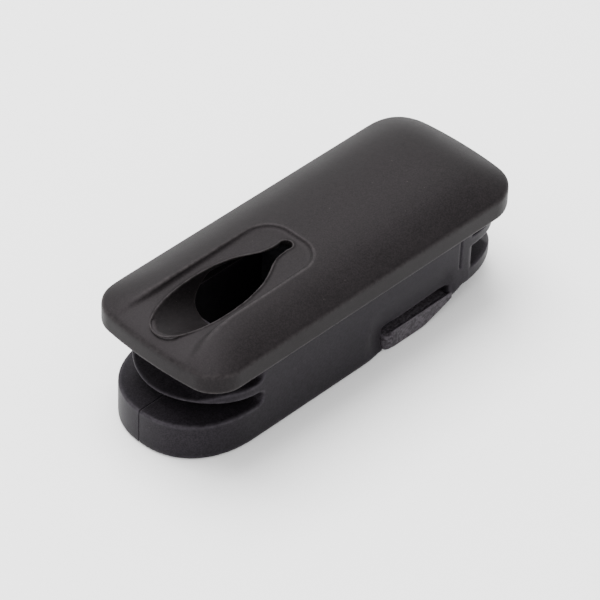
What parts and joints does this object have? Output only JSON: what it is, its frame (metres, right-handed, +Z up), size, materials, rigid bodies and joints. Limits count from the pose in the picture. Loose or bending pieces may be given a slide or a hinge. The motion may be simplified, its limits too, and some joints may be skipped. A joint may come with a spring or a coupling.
{
  "type": "cord lock",
  "caption": "Slide-to-release cord lock for a garment slit: a bevelled cover with a thumb dish and keyhole opening slides on a body with a foot, fins and a cord hole.",
  "frame": {"origin": "middle of the length and width, on the flat underside of the body", "axes": "+X along the length, from the keyhole end to the spring end; +Y across; +Z up, out of the garment, towards the cover"},
  "size_m": [0.037, 0.014, 0.0112],
  "materials": {
    "body_plastic": "fine matte moulding texture, black",
    "clip_plastic": "matte black, slightly grainier than the body",
    "cover_plastic": "soft-touch matte black",
    "carriage_plastic": "smooth matte black",
    "spring_steel": "drawn steel wire"
  },
  "bodies": {
    "housing": {"body": "body_plastic", "base_clip": "clip_plastic", "spring_left": "spring_steel", "spring_right": "spring_steel"},
    "slider": {"cover": "cover_plastic", "carriage": "carriage_plastic"}
  },
  "joints": [
    {"name": "cover_slide", "type": "slide", "parent": "housing", "child": "slider", "axis": [1, 0, 0], "range_m": [0, 0.0045], "stiffness_N_per_m": 900, "springref_m": -0.0015, "deforming": ["spring_left", "spring_right"]}
  ]
}
